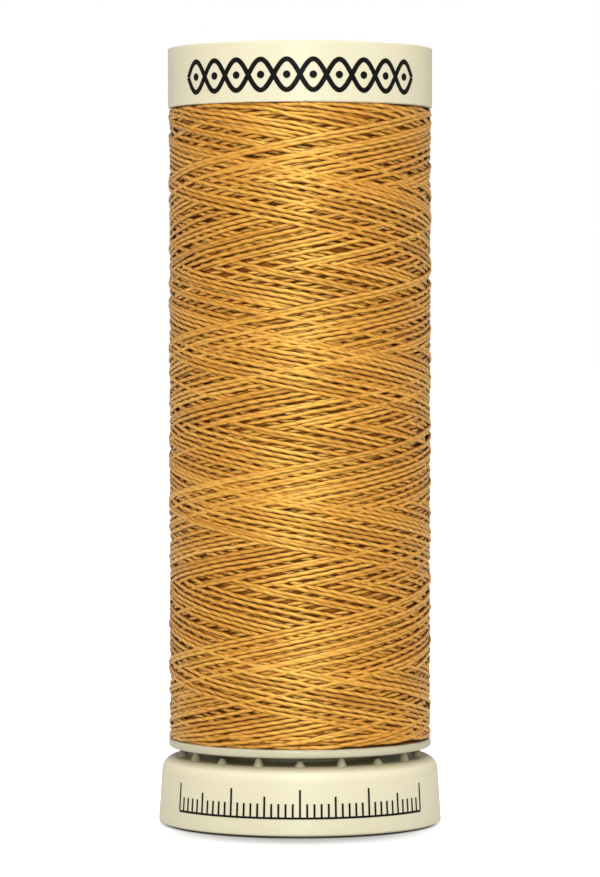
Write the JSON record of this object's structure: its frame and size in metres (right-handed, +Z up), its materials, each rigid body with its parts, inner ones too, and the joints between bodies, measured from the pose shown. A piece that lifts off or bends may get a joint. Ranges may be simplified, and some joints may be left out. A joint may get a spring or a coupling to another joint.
{
  "type": "spool of thread",
  "caption": "Tall narrow spool of cross-wound sewing thread on a plastic core, with a ribbed end cap and a snap-open foot whose nubs hold the thread's free end.",
  "frame": {"origin": "on the floor at the centre of the foot's lower face", "axes": "+Z up the spool's axis from the foot to the cap, -Y towards the side that is looked at"},
  "size_m": [0.0204, 0.0204, 0.0562],
  "materials": {
    "foot_plastic": "ivory moulded plastic, satin gloss",
    "core_plastic": "ivory moulded plastic, satin gloss",
    "cap_plastic": "ivory moulded plastic, satin gloss",
    "label_paper": "white coated label paper",
    "thread": "golden yellow spun polyester sewing thread"
  },
  "bodies": {
    "foot": {"snap_base": "foot_plastic", "base_label": "label_paper"},
    "spool": {"spool_core": "core_plastic", "top_cap": "cap_plastic", "top_label": "label_paper", "thread_winding": "thread"}
  },
  "joints": [
    {"name": "foot_snap", "type": "slide", "parent": "foot", "child": "spool", "axis": [0, 0, 1], "range_m": [0, 0.0016]}
  ]
}
